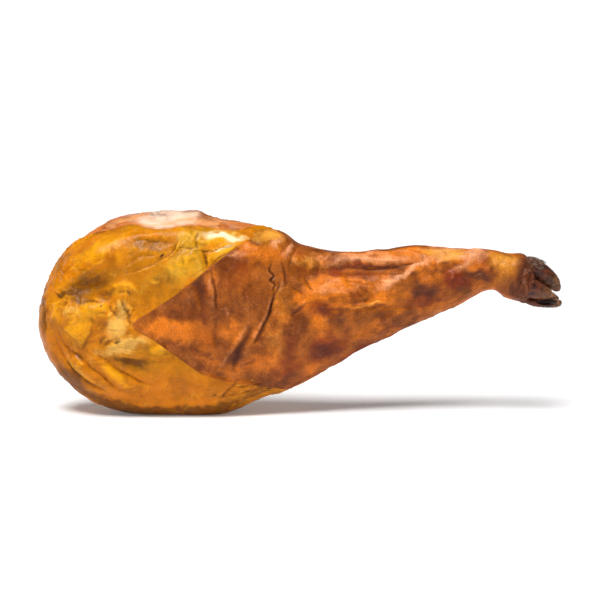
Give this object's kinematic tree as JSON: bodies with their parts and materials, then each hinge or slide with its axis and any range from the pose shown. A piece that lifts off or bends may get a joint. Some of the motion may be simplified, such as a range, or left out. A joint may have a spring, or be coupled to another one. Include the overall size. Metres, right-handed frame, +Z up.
{
  "type": "cured ham",
  "caption": "Whole dry-cured ham on the bone: a broad rounded thigh with trimmed fat and rind, tapering along the shank to a cloven trotter with horn claws.",
  "frame": {"origin": "on the ground under the middle of the ham's box, in the resting plane of the thigh's lower edge", "axes": "+X from the butt of the thigh along the shank to the claws, +Z up, the outer rind side faces -Y"},
  "size_m": [0.7216, 0.1362, 0.2838],
  "materials": {
    "ham_rind_and_fat": "greasy satin cured rind and yellow fat",
    "horn": "satin dark horn"
  },
  "bodies": {
    "root": {"leg": "ham_rind_and_fat", "main_claw_upper": "horn", "main_claw_lower": "horn", "dew_claw_far": "horn", "dew_claw_near": "horn"}
  },
  "joints": []
}
